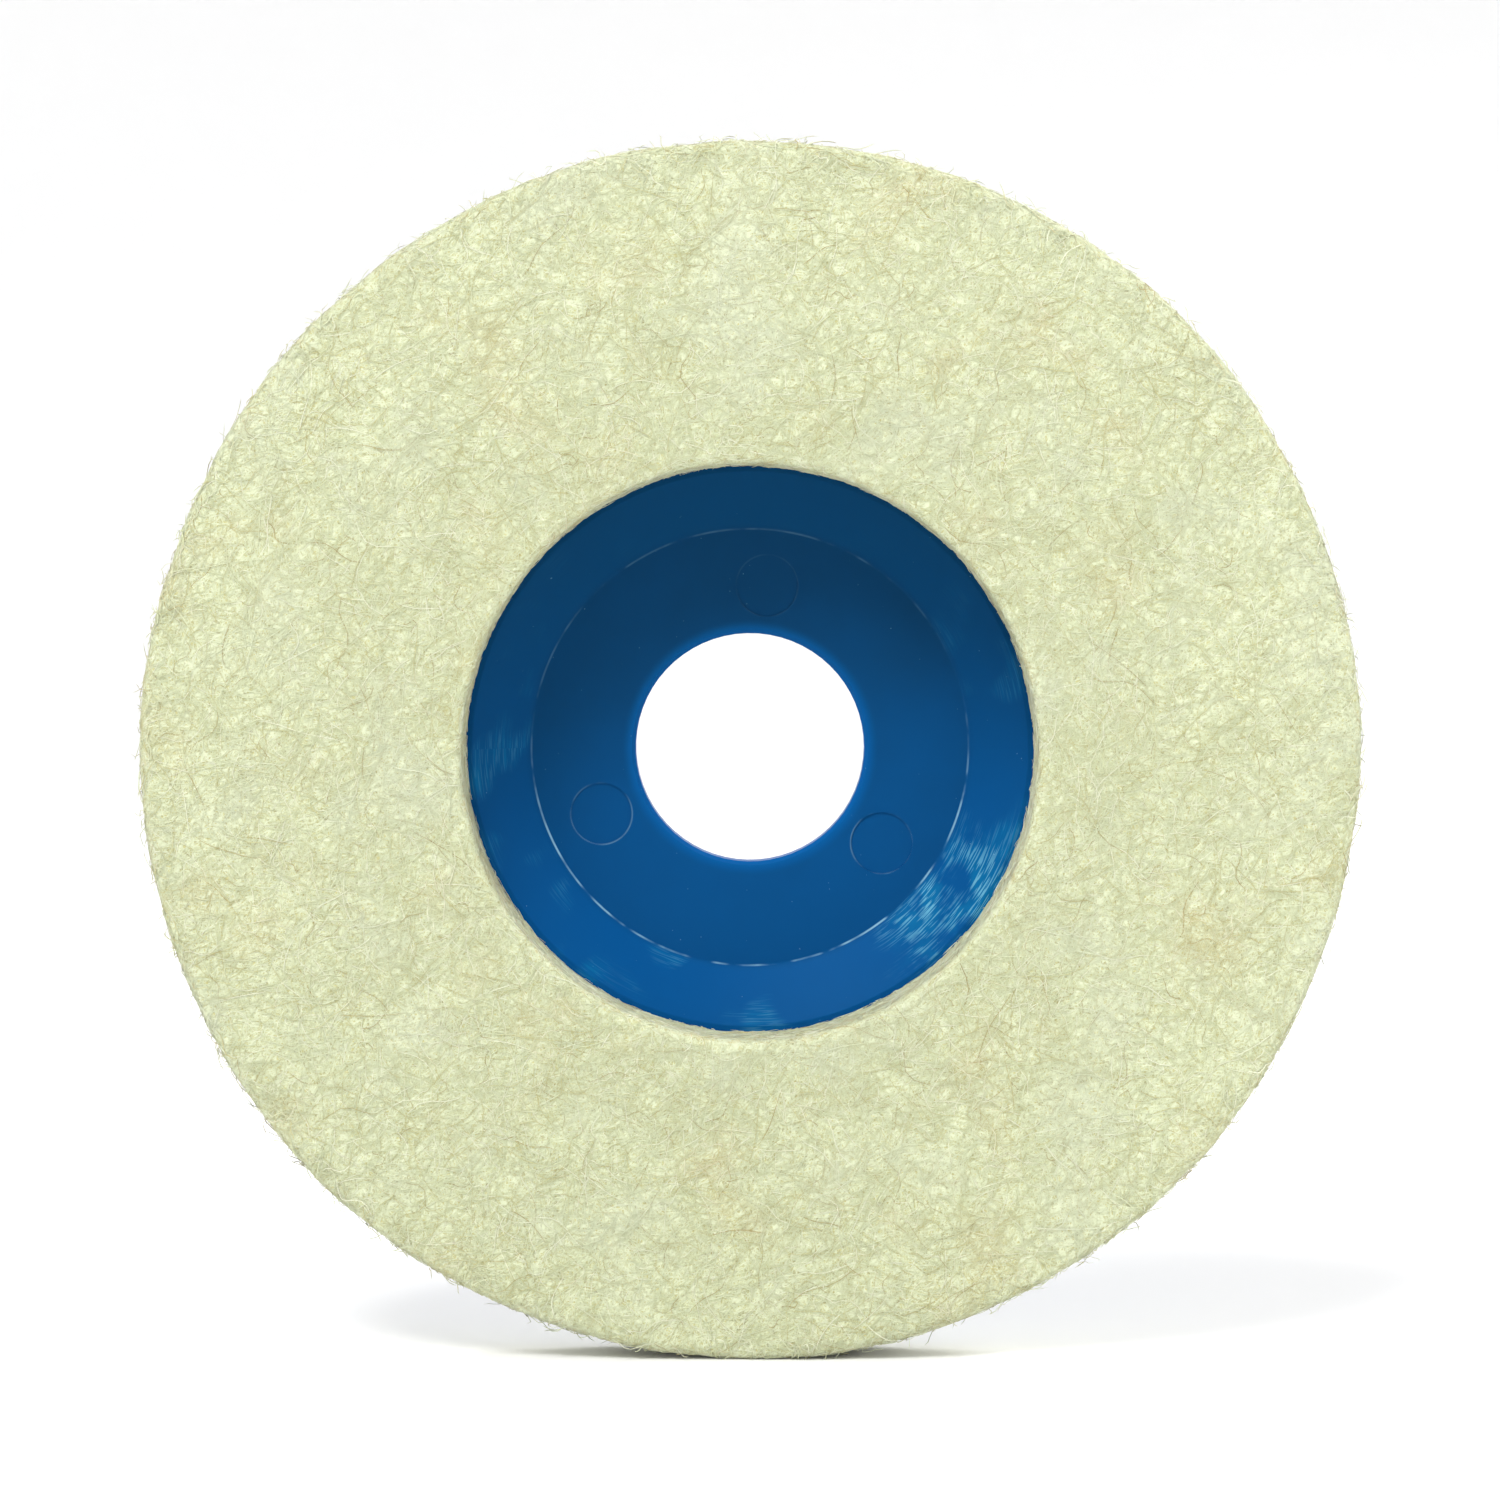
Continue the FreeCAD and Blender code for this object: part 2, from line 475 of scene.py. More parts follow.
def fibre_faces(count):
    """Corner lists of count closed fibres: quads between rings and triangles at the tips."""
    rings, sides = FIBRE_RINGS, FIBRE_SIDES
    ring = 1 + np.arange(rings * sides).reshape(rings, sides)
    turned = np.roll(ring, -1, axis=1)
    quads = np.stack([ring[:-1], ring[1:], turned[1:], turned[:-1]], axis=-1).reshape(-1, 4)
    tip = rings * sides + 1
    root_end = np.stack([np.zeros(sides, int), ring[0], turned[0]], axis=-1)
    tip_end = np.stack([np.full(sides, tip), turned[-1], ring[-1]], axis=-1)
    triangles = np.concatenate([root_end, tip_end])
    offsets = np.arange(count)[:, None, None] * (tip + 1)
    return (offsets + quads).reshape(-1, 4), (offsets + triangles).reshape(-1, 3)


def fibre_tubes(paths, outward, thickness):
    """Vertices of fibres of these radii that run along paths (fibre, point, xyz), and normals."""
    direction = np.gradient(paths, axis=1)
    direction /= np.linalg.norm(direction, axis=2)[..., None]
    side = np.cross(direction, outward)
    side /= np.linalg.norm(side, axis=2)[..., None]
    up = np.cross(side, direction)
    turn = 2 * math.pi * np.arange(FIBRE_SIDES) / FIBRE_SIDES
    spokes = side[:, 1:-1, None] * np.cos(turn)[:, None] + up[:, 1:-1, None] * np.sin(turn)[:, None]
    rings = paths[:, 1:-1, None] + spokes * thickness[:, None, None, None]
    rings = rings.reshape(len(paths), -1, 3)
    points = np.concatenate([paths[:, :1], rings, paths[:, -1:]], axis=1)
    softened = (1 - FIBRE_SOFTNESS) * spokes + FIBRE_SOFTNESS * outward[:, 1:-1, None]
    softened = softened.reshape(len(paths), -1, 3)
    normals = np.concatenate([outward[:, :1], softened, outward[:, -1:]], axis=1)
    return points.reshape(-1, 3), normals.reshape(-1, 3)


def wander(random, count, length, curl):
    """Curly walks of random heading: how far round and how far along the outline, per point."""
    steps = FIBRE_RINGS + 1
    hop = random.uniform(length[0], length[1], count)[:, None] / steps
    middle = (np.arange(steps) + 0.5) / steps
    heading = random.uniform(0, 2 * math.pi, count)[:, None]
    bend = random.normal(0, curl, count)[:, None] * middle
    phase = random.uniform(0, 2 * math.pi, count)[:, None]
    swing = np.sin(2 * math.pi * FIBRE_WAVES * middle + phase)
    wave = random.normal(0, 0.7 * curl, count)[:, None] * swing
    bearing = heading + bend + wave
    start = np.zeros((count, 1))
    around = np.concatenate([start, np.cumsum(np.cos(bearing) * hop, axis=1)], axis=1)
    onward = np.concatenate([start, np.cumsum(np.sin(bearing) * hop, axis=1)], axis=1)
    return around, onward


def fibres(name, count, seed, zone, length, thickness, lift, loose, material, curl=1.0):
    """A piece made of loose wool fibres that start in a zone (low, high) along the outline.

    length and thickness, a radius, are (least, most). lift is how far a matted fibre weaves in
    and out of the felt. loose is how far the free end of a fibre may stand off.
    """
    random = np.random.default_rng(seed)
    start = random.uniform(zone[0], zone[1], count)
    angle = random.uniform(0, 2 * math.pi, count)
    around, onward = wander(random, count, length, curl)
    along = np.clip(start[:, None] + onward, 0, ALONG[-1])
    angles = angle[:, None] + around / np.interp(start, ALONG, OUTLINE_RADIUS)[:, None]
    share = np.linspace(0, 1, FIBRE_RINGS + 2)
    phase = random.uniform(0, 2 * math.pi, count)[:, None]
    weave = lift * (0.4 + 0.6 * np.sin(2 * math.pi * share + phase))
    stray = random.uniform(0, 1, count)[:, None] ** 2 * loose * share**1.6
    thick = random.uniform(thickness[0], thickness[1], count)
    paths, outward = on_felt(angles, along, weave + stray)
    points, normals = fibre_tubes(paths, outward, thick)
    piece = new_piece(name, points, fibre_faces(count), [material])
    piece.data.shade_smooth()
    piece.data.normals_split_custom_set_from_vertices(normals)
    ride(piece)


FIBRES_A_PIECE = 5500  # keeps a piece under 200,000 triangles
HOLE_FIBRES = 3000
FACE_LAYERS = 5
SIDE_LAYERS = 2  # and as many on the back


def wool_fibres():
    """Matted fibres on every exposed side of the felt, and looser ones along its edges."""
    wool = loose_wool()
    hole_edge = along_at(FELT_HOLE_RADIUS, FELT_FACE_Y)
    face_edge = along_at(FELT_RADIUS, FELT_FACE_Y)
    back_edge = along_at(FELT_RADIUS, FELT_BACK_Y)
    plate_edge = along_at(PLATE_RADIUS, FELT_BACK_Y)
    nap = dict(length=(1.2 * MM, 4.5 * MM), thickness=(0.018 * MM, 0.04 * MM), material=wool)
    face, side = (hole_edge, face_edge), (face_edge, back_edge)
    back = (back_edge, plate_edge + 0.4 * MM)
    hole = (0.6 * MM, hole_edge)
    for layer in range(FACE_LAYERS):
        name, seed = f"face_fibres_{layer + 1}", 21 + layer
        fibres(name, FIBRES_A_PIECE, seed, face, lift=0.05 * MM, loose=0.05 * MM, **nap)
    fibres(
        "face_long_fibres",
        FIBRES_A_PIECE,
        26,
        face,
        length=(3.5 * MM, 9.0 * MM),
        thickness=(0.026 * MM, 0.042 * MM),
        lift=0.08 * MM,
        loose=0.12 * MM,
        material=wool,
        curl=0.6,
    )
    for layer in range(SIDE_LAYERS):
        name, seed = f"side_fibres_{layer + 1}", 31 + layer
        fibres(name, FIBRES_A_PIECE, seed, side, lift=0.08 * MM, loose=0.18 * MM, **nap)
        name, seed = f"back_fibres_{layer + 1}", 41 + layer
        fibres(name, FIBRES_A_PIECE, seed, back, lift=0.05 * MM, loose=0.12 * MM, **nap)
    fibres("hole_fibres", HOLE_FIBRES, 51, hole, lift=0.08 * MM, loose=0.15 * MM, **nap)
    strays = dict(length=(1.5 * MM, 5.0 * MM), thickness=(0.025 * MM, 0.05 * MM), material=wool)
    for name, count, seed, middle, loose in (
        ("face_edge_hairs", 900, 61, face_edge, 1.1 * MM),
        ("back_edge_hairs", 1400, 62, back_edge, 1.4 * MM),
        ("rim_hairs", 1000, 63, plate_edge, 0.8 * MM),
    ):
        zone = (middle - 1.0 * MM, middle + 0.5 * MM)
        fibres(name, count, seed, zone, lift=0.25 * MM, loose=loose, **strays)


# ---- Moulded plastic ----------------------------------------------------------------------

FLOOR_PAINTED_LIT_BLUE = linear(5, 72, 128)  # painted light at the foot of the recess; the painted-shade one is used at its top
FLOOR_PAINTED_SHADE_BLUE = linear(8, 57, 97)
# the recess wall's blues: painted light at its foot, painted shade at its top
WALL_PAINTED_LIT_BLUE = linear(4, 77, 138)
WALL_PAINTED_SHADE_BLUE = linear(6, 61, 103)
OUTER_BLUE = linear(1, 77, 144)  # of the cone and the plate, seen from the hub side
PAINTED_GLOW_BLUE = linear(4, 96, 170)  # painted glow, as of light let through where the plastic is thin
RUBBED_BLUE = linear(14, 110, 160)
SCUFF_PALE = linear(120, 190, 215)
SEAT_WORN = linear(30, 116, 156)
# painted highlight along the hub's shoulder
SHOULDER_PAINTED_HIGHLIGHT = linear(56, 150, 196)
# painted highlight of the lines round the recess floor and pin marks, and also the dust's colour
DUST_AND_PAINTED_HIGHLIGHT = linear(150, 198, 222)

PAINTED_GLOW_REACH = 1.4 * MM  # how far the painted glow reaches from the bore
PAINTED_LIGHT_BELOW = -20 * MM  # heights between which painted shade takes the recess from its lit blue to deep blue
PAINTED_SHADE_ABOVE = 24 * MM
# half widths of the painted highlight lines
FLOOR_LINE_HALF_WIDTH = 0.14 * MM
MARK_LINE_HALF_WIDTH = 0.12 * MM
TURNED_MARKS = (5 * MM, 0.25 * MM)  # length and width of the marks left in the recess wall
SCRATCHES = (2.2 * MM, 0.12 * MM)
SCUFF_TURN = math.radians(-38)  # the worst scuffs, low on the right of the recess
SCUFF_SPREAD = math.radians(24)
PIN_MARKS = 3


def pin_marks():
    """Centres (x, z) and radius of the round dents in the recess floor, from the plate's mesh."""
    points = np.array([v.co for v in frame["nodes"]["backing_plate"].data.vertices])
    radius = np.hypot(points[:, 0], points[:, 2])
    deeper = (points[:, 1] > NUT_SEAT_Y + 0.05 * MM) & (points[:, 1] < NUT_SEAT_Y + 0.5 * MM)
    on_floor = (radius > BORE_RADIUS + 1 * MM) & (radius < RECESS_FLOOR_RADIUS - 1 * MM)
    places = (points[:, 0] + 1j * points[:, 2])[deeper & on_floor]
    first = np.angle(np.mean(places**PIN_MARKS)) / PIN_MARKS
    pitch = (abs(places).min() + abs(places).max()) / 2
    mark_radius = (abs(places).max() - abs(places).min()) / 2
    turns = first + 2 * math.pi * np.arange(PIN_MARKS) / PIN_MARKS
    return [(pitch * math.cos(t), pitch * math.sin(t)) for t in turns], mark_radius


class PlatePlace:
    """Where a point of the moulded plate lies, as node outputs."""

    def __init__(self, nodes):
        parts = nodes.add("SeparateXYZ", {0: nodes.place})
        self.x, self.y, self.z = (parts.outputs[axis] for axis in "XYZ")
        self.radius = nodes.length(self.x, self.z)
        self.turn = nodes.maths("ARCTAN2", self.z, self.x)
        normal = nodes.add("NewGeometry").outputs["True Normal"]
        facing = nodes.add("SeparateXYZ", {0: normal}).outputs["Y"]
        self.under = nodes.step(facing, -0.1, -0.3)  # 1 on what faces the work
        # 1 at the foot of the recess, 0 at its top: it sets where painted shade darkens the recess,
        # and keeps the rubbed marks low
        self.low = nodes.step(self.z, PAINTED_SHADE_ABOVE, PAINTED_LIGHT_BELOW)
        floor = RECESS_FLOOR_RADIUS
        past_floor = nodes.step(self.radius, floor - 0.3 * MM, floor + 0.7 * MM)
        self.on_wall = nodes.times(self.under, past_floor)


def ring_line(nodes, at, centre, radius, half_width):
    """1 on a thin circle about the centre in the x-z plane, 0 away from it."""
    away_x = nodes.maths("SUBTRACT", at.x, centre[0])
    away_z = nodes.maths("SUBTRACT", at.z, centre[1])
    distance = nodes.length(away_x, away_z)
    return nodes.step(nodes.off(distance, radius), half_width, 0.2 * half_width)


def round_streaks(nodes, at, size, seed):
    """Thin streaks of a (length, width) that run round the spindle axis."""
    around = nodes.times(at.turn, RECESS_FLOOR_RADIUS)
    place = nodes.add("CombineXYZ", {0: around, 1: at.radius}).outputs[0]
    return nodes.streaks(place, 0.0, *size, seed)


def clean_plastic(nodes, at):
    """The moulding before wear: painted shade makes it deep blue high in the recess and painted
    light makes it brighter low in it; it is brighter outside, with a painted glow where it is thin.
    """
    cloud = nodes.step(nodes.noise(12 * MM, 3.0), 0.2, 0.8)
    # painted shade that darkens the recess towards its top, mixed with random clouds of tone
    cloud_and_painted_shade = nodes.maths("ADD", nodes.times(cloud, 0.3), at.low)
    colour = nodes.mix(nodes.step(cloud_and_painted_shade, 0.1, 1.2), FLOOR_PAINTED_SHADE_BLUE, FLOOR_PAINTED_LIT_BLUE)
    colour = nodes.mix(at.under, OUTER_BLUE, colour)
    # painted glow near the bore and at the plate's rim
    at_bore = nodes.step(at.radius, BORE_RADIUS + PAINTED_GLOW_REACH, BORE_RADIUS)
    at_rim = nodes.step(at.radius, LABEL_OUTER - 0.5 * MM, LABEL_OUTER + 0.3 * MM)
    painted_glow = nodes.maths("MAXIMUM", nodes.times(at_bore, 0.55), nodes.times(at_rim, 0.7))
    colour = nodes.mix(painted_glow, colour, PAINTED_GLOW_BLUE)
    # the wall likewise gets painted shade at its top and painted light at its foot
    wall = nodes.mix(at.low, WALL_PAINTED_SHADE_BLUE, WALL_PAINTED_LIT_BLUE)
    return nodes.mix(at.on_wall, colour, wall)


def scuffed(nodes, at, colour):
    """The colour with the recess wall's turned marks and its one badly rubbed patch.

    Returns the colour and how deep the scratches are, from 0 to 1.
    """
    marks = round_streaks(nodes, at, TURNED_MARKS, seed=1 * MM)
    scratches = nodes.step(round_streaks(nodes, at, SCRATCHES, seed=2 * MM), 0.15, 0.6)
    patch = nodes.step(nodes.off(at.turn, SCUFF_TURN), SCUFF_SPREAD, 0.2 * SCUFF_SPREAD)
    blotch = nodes.step(nodes.noise(4 * MM, 3.0, seed=3.0), 0.38, 0.62)
    patch = nodes.times(nodes.times(patch, blotch), at.on_wall)
    elsewhere = nodes.times(nodes.step(nodes.noise(7 * MM, 2.0, seed=4.0), 0.5, 0.7), at.low)
    elsewhere = nodes.times(elsewhere, at.on_wall)
    rubbed = nodes.times(nodes.maths("MULTIPLY_ADD", marks, 0.4, 0.35), elsewhere)
    colour = nodes.mix(rubbed, colour, RUBBED_BLUE)
    colour = nodes.mix(nodes.times(patch, 0.7), colour, RUBBED_BLUE)
    depth = nodes.times(nodes.maths("MAXIMUM", patch, nodes.times(elsewhere, 0.25)), scratches)
    return nodes.mix(nodes.times(depth, 0.6), colour, SCUFF_PALE), depth


def seat_wear(nodes, at):
    """How worn the hub's flat seat is, in soft blotches."""
    seat = nodes.step(at.y, HUB_SEAT_Y - 0.5 * MM, HUB_SEAT_Y - 0.05 * MM)
    blotches = nodes.step(nodes.noise(2.5 * MM, 5.0, roughness=0.7, seed=6.0), 0.25, 0.75)
    return nodes.times(seat, nodes.maths("MULTIPLY_ADD", blotches, 0.4, 0.4))


def shoulder_painted_highlight(nodes, at):
    """How much painted highlight lies along the rounding between the hub's seat and its cone, with
    gaps.
    """
    off_edge = nodes.off(at.radius, HUB_SEAT_RADIUS + 0.2 * MM)
    edge = nodes.step(off_edge, 0.45 * MM, 0.1 * MM)
    gaps = nodes.step(nodes.noise(9 * MM, 2.0, seed=7.0), 0.35, 0.65)
    high = nodes.step(at.y, HUB_SEAT_Y - 1.0 * MM, HUB_SEAT_Y - 0.3 * MM)
    return nodes.times(nodes.times(nodes.times(edge, gaps), high), 0.6)


def painted_edge_highlights(nodes, at):
    """How much painted highlight shows as a pale line round the recess floor and the pin marks."""
    highlight_rings = ring_line(nodes, at, (0, 0), RECESS_FLOOR_RADIUS, FLOOR_LINE_HALF_WIDTH)
    centres, mark_radius = pin_marks()
    for centre in centres:
        mark = ring_line(nodes, at, centre, mark_radius, MARK_LINE_HALF_WIDTH)
        highlight_rings = nodes.maths("MAXIMUM", highlight_rings, nodes.times(mark, 0.35))
    broken = nodes.step(nodes.noise(3 * MM, 2.0, seed=8.0), 0.36, 0.62)
    # the painted highlight is strongest low down, where the light falls
    stronger_low = nodes.maths("MULTIPLY_ADD", nodes.step(at.z, 2 * MM, -10 * MM), 0.62, 0.1)
    return nodes.times(nodes.times(highlight_rings, nodes.times(broken, stronger_low)), at.under)


def hub_plastic():
    """Satin blue moulding: worn on its seat, scuffed in its recess, a little dusty, with painted
    shade and light in the recess, a painted glow where it is thin and painted highlights on its
    shoulder and round the recess floor and pin marks.
    """
    nodes = Nodes("hub_plastic")
    at = PlatePlace(nodes)
    colour, scratches = scuffed(nodes, at, clean_plastic(nodes, at))
    worn = seat_wear(nodes, at)
    colour = nodes.mix(worn, colour, SEAT_WORN)
    colour = nodes.mix(shoulder_painted_highlight(nodes, at), colour, SHOULDER_PAINTED_HIGHLIGHT)
    colour = nodes.mix(painted_edge_highlights(nodes, at), colour, DUST_AND_PAINTED_HIGHLIGHT)
    dust = nodes.step(nodes.noise(0.4 * MM, 2.0, seed=11.0), 0.76, 0.80)
    colour = nodes.mix(nodes.times(dust, 0.3), colour, DUST_AND_PAINTED_HIGHLIGHT)
    matt = nodes.maths("MAXIMUM", worn, at.under)
    grain = nodes.noise(0.7 * MM, 2.0, seed=12.0)
    relief = nodes.maths("MULTIPLY_ADD", scratches, 0.6, grain)
    return nodes.finish(
        Base_Color=colour,
        Roughness=nodes.maths("MULTIPLY_ADD", matt, 0.2, 0.32),
        IOR=1.3,
        Specular_IOR_Level=0.2,
        Specular_Tint=(0.4, 0.8, 1.0, 1.0),
        Normal=nodes.bump(relief, 0.012 * MM, 0.6),
    )


def hot_melt():
    """Milky amber glue with small lumps."""
    nodes = Nodes("hot_melt")
    lumps = nodes.noise(1.5 * MM, 3.0)
    amber, milky = linear(206, 190, 140), linear(232, 222, 186)
    colour = nodes.mix(nodes.step(lumps, 0.3, 0.7), amber, milky)
    relief = nodes.bump(lumps, 0.05 * MM, 0.6)
    return nodes.finish(Base_Color=colour, Roughness=0.45, Normal=relief)


def dress(node, material):
    """Puts a material on a CAD node in place of its plain one."""
    piece = frame["nodes"][node]
    piece.data.materials.clear()
    piece.data.materials.append(material)


# ---- Printed label ------------------------------------------------------------------------
# Drawn in millimetres as it reads from the hub side, with x to the right and y up.

BAND_HALF_WIDTH = 4.0  # of the dark band's top, at the label's outer edge
BAND_SPREAD = 0.54  # how fast the band's outer edges part on the way down
STRIPE_WIDTH = 4.9
WEDGE_TOP = 16.0  # the light wedge that parts the band's two legs
WEDGE_SPREAD = 0.48
DRAWING_EDGE = 60.0  # shapes run past the ring to here and are trimmed by it

LEFT_PRINT = (-38.2, -28.2)  # where the small print starts on each leg
LEFT_STEP = (3.1, -3.1)  # and how far on each next row starts
LEFT_ROWS = (((3, 4, 3), 1.6), ((3, 3, 4, 2), 1.1), ((5, 3, 2), 1.1))  # letters a word, height
RIGHT_PRINT = (31.2, -9.4)
RIGHT_STEP = (-1.9, -3.9)
RIGHT_ROWS = ((9, 3), (7, 3), (6, 5), (8,), (5,))
RIGHT_HEIGHT = 1.3
LETTER_WIDTH = 0.6  # shares of a letter's height
LETTER_PITCH = 0.85
WORD_GAP = 0.6
OUTLINED_WORDS = (  # left edge, low edge, width and height
    (-44.6, 2.2, 9.4, 2.8),
    (-44.9, -2.0, 10.4, 2.8),
    (33.0, 0.6, 11.0, 1.9),
    (33.2, -2.6, 10.0, 1.9),
)
NUMERALS_PLACE = (-45.2, 7.4)
NUMERALS_HEIGHT = 6.2
SIGN_ROWS = ((3, -38.1), (4, -42.8))  # how many signs, and the row's low edge
SIGN_SHAPES = ((24, 24), (4, 3), (6, 6), (3, 4))  # corners of the pale shape and the one in it
ROUND = 40  # corners of a small circle, and of the label's two edges
INNER_ROUND = 240
OUTER_ROUND = 360
SAME_POINT = 1e-4  # corners nearer to each other than this become one

LABEL_INKS = ("paper", "navy", "stripe", "black", "red")


def box(low, high):
    """Corners of an upright rectangle."""
    return [low, (high[0], low[1]), high, (low[0], high[1])]


def bar(start, end, width):
    """Corners of a straight bar with square ends."""
    along = np.subtract(end, start)
    across = np.array([-along[1], along[0]]) / np.hypot(*along) * width / 2
    return [tuple(start - across), tuple(end - across), tuple(end + across), tuple(start + across)]


def disc(centre, radius, sides=ROUND):
    """Corners of a circle, or of an even shape with few sides."""
    turns = 2 * np.pi * np.arange(sides) / sides
    return [(centre[0] + radius * math.cos(t), centre[1] + radius * math.sin(t)) for t in turns]


def band_edge(y):
    """Half the dark band's width at height y."""
    return BAND_HALF_WIDTH + BAND_SPREAD * (LABEL_OUTER / MM - y)


def band_and_stripes():
    """Two dark legs that part downwards, a stripe along each, and the light wedge between."""
    top, foot = LABEL_OUTER / MM + 1, -DRAWING_EDGE
    narrow, wide = band_edge(top), band_edge(foot)
    shapes = [("navy", [(-narrow, top), (narrow, top), (wide, foot), (-wide, foot)])]
    for side in (-1, 1):
        edge = [(side * band_edge(y), y) for y in (top, foot)]
        outer = [(side * (band_edge(y) + STRIPE_WIDTH), y) for y in (foot, top)]
        shapes.append(("stripe", edge + outer))
    reach = WEDGE_SPREAD * (WEDGE_TOP - foot)
    shapes.append(("paper", [(0.0, WEDGE_TOP), (reach, foot), (-reach, foot)]))
    return shapes


def text_bars(start, angle, words, height):
    """A row of small print, one plain block a letter. words says how many letters each has."""
    ahead = np.array([math.cos(math.radians(angle)), math.sin(math.radians(angle))])
    shapes, reached = [], 0.0
    for letters in words:
        for _ in range(letters):
            first = start + ahead * reached
            last = first + ahead * LETTER_WIDTH * height
            shapes.append(("paper", bar(first, last, height)))
            reached += LETTER_PITCH * height
        reached += WORD_GAP * height
    return shapes


def leg_text():
    """Small print along the two dark legs."""
    lean = math.degrees(math.atan2(1, BAND_SPREAD))
    shapes = []
    for row, (words, height) in enumerate(LEFT_ROWS):
        start = np.add(LEFT_PRINT, np.multiply(LEFT_STEP, row))
        shapes += text_bars(start, lean, words, height)
    for row, words in enumerate(RIGHT_ROWS):
        start = np.add(RIGHT_PRINT, np.multiply(RIGHT_STEP, row))
        shapes += text_bars(start, -lean, words, RIGHT_HEIGHT)
    return shapes


def outlined_words(line=0.22):
    """Outlined bars in place of outlined words, left and right of the hub."""
    shapes = []
    for left, low, width, height in OUTLINED_WORDS:
        right, top = left + width, low + height
        shapes.append(("black", box((left, low), (right, top))))
        shapes.append(("paper", box((left + line, low + line), (right - line, top - line))))
    return shapes


def turning_sign(centre=(36.0, 15.0), size=4.6, line=0.3):
    """A plain drawing of the pad seen from its face, with an arrow for its turning."""
    shapes = []
    for radius in (size, 0.45 * size):
        shapes.append(("black", disc(centre, radius)))
        shapes.append(("paper", disc(centre, radius - line)))
    reach, turns = 1.28 * size, np.radians(np.linspace(25, 155, 14))
    on_arc = [(centre[0] + reach * math.cos(t), centre[1] + reach * math.sin(t)) for t in turns]
    for start, end in zip(on_arc, on_arc[1:]):
        shapes.append(("black", bar(start, end, line * 1.4)))
    tip = np.array(on_arc[0])
    ahead = tip - np.array(on_arc[1])
    ahead /= np.hypot(*ahead)
    across = np.array([-ahead[1], ahead[0]])
    shapes.append(("black", [tuple(tip + across), tuple(tip - across), tuple(tip + 1.9 * ahead)]))
    return shapes


def plain_signs(size=4.2, gap=0.5, line=0.22):
    """Seven small framed squares in a row of three over a row of four, each with a plain shape."""
    shapes = []
    pitch = size + gap
    for count, low in SIGN_ROWS:
        left = -(count * pitch - gap) / 2
        for number in range(count):
            x, y = left + number * pitch, low
            middle = (x + size / 2, y + size / 2)
            inner = box((x + line, y + line), (x + size - line, y + size - line))
            pale, dark = SIGN_SHAPES[number]
            shapes += [("red", box((x, y), (x + size, y + size))), ("black", inner)]
            shapes.append(("paper", disc(middle, 0.36 * size, pale)))
            shapes.append(("black", disc(middle, 0.17 * size, dark)))
    return shapes


def one(left, low, height):
    """A heavy numeral 1 with a flag and a foot. Returns its shapes and its width."""
    stroke, top = 0.36 * height, low + height
    stem = left + 0.2 * height
    foot = box((left, low), (stem + stroke + 0.2 * height, low + 0.16 * height))
    under_flag = top - 0.3 * height
    flag = [(left, under_flag), (stem, under_flag), (stem, top), (left + 0.14 * height, top)]
    return [box((stem, low), (stem + stroke, top)), flag, foot], 0.76 * height


def five(left, low, height):
    """A heavy numeral 5: a bar, a stem and an open bowl. Returns its shapes and its width."""
    stroke, top = 0.24 * height, low + height
    outer = 0.35 * height
    inner = outer - stroke
    centre = (left + 0.34 * height, low + outer)
    turns = np.radians(np.linspace(-150, 125, 24))
    bowl = []
    for radius, way in ((outer, turns), (inner, turns[::-1])):
        bowl += [(centre[0] + radius * math.cos(t), centre[1] + radius * math.sin(t)) for t in way]
    bar_above = box((left + 0.08 * height, top - 0.2 * height), (left + 0.64 * height, top))
    stem = box((left + 0.08 * height, low + 0.5 * height), (left + 0.32 * height, top))
    return [bowl, bar_above, stem], 0.76 * height


def numerals(left, low, height, gap=0.35):
    """The pad's diameter, 115, in heavy plain numerals."""
    shapes = []
    for numeral in (one, one, five):
        polygons, width = numeral(left, low, height)
        shapes += [("black", polygon) for polygon in polygons]
        left += width + gap
    return shapes


def inside(points, polygon):
    """Which points lie inside a polygon, by counting the edges to their right."""
    crossings = np.zeros(len(points), int)
    for (x0, y0), (x1, y1) in zip(polygon, polygon[1:] + polygon[:1]):
        spans = (points[:, 1] < y0) != (points[:, 1] < y1)
        if y0 != y1:
            crossing = x0 + (points[:, 1] - y0) * (x1 - x0) / (y1 - y0)
            crossings += spans & (points[:, 0] < crossing)
    return crossings % 2 == 1


def printed_sheet(shapes):
    """Splits the label's ring along every shape. Returns points, triangles and their inks."""
    inner = disc((0, 0), LABEL_INNER / MM, INNER_ROUND)
    outer = disc((0, 0), LABEL_OUTER / MM, OUTER_ROUND)
    corners, edges = [], []
    for outline in [inner, outer] + [polygon for _, polygon in shapes]:
        first = len(corners)
        corners += outline
        edges += [(first + i, first + (i + 1) % len(outline)) for i in range(len(outline))]
    corners = [Vector(corner) for corner in corners]
    split = mathutils.geometry.delaunay_2d_cdt(corners, edges, [], 0, SAME_POINT)
    points = np.array([tuple(v) for v in split[0]])
    triangles = np.array([face for face in split[2] if len(face) == 3])
    middles = points[triangles].mean(axis=1)
    kept = inside(middles, outer) & ~inside(middles, inner)
    triangles, middles = triangles[kept], middles[kept]
    inks = np.zeros(len(triangles), int)
    for ink, polygon in shapes:
        inks[inside(middles, polygon)] = LABEL_INKS.index(ink)
    used, triangles = np.unique(triangles, return_inverse=True)
    return points[used], triangles.reshape(-1, 3), inks


def open_edges(triangles):
    """Edges that belong to one triangle only, each in that triangle's direction."""
    edges = np.concatenate([triangles[:, [0, 1]], triangles[:, [1, 2]], triangles[:, [2, 0]]])
    _, where, uses = np.unique(np.sort(edges, axis=1), axis=0, return_index=True, return_counts=True)
    return edges[where[uses == 1]]


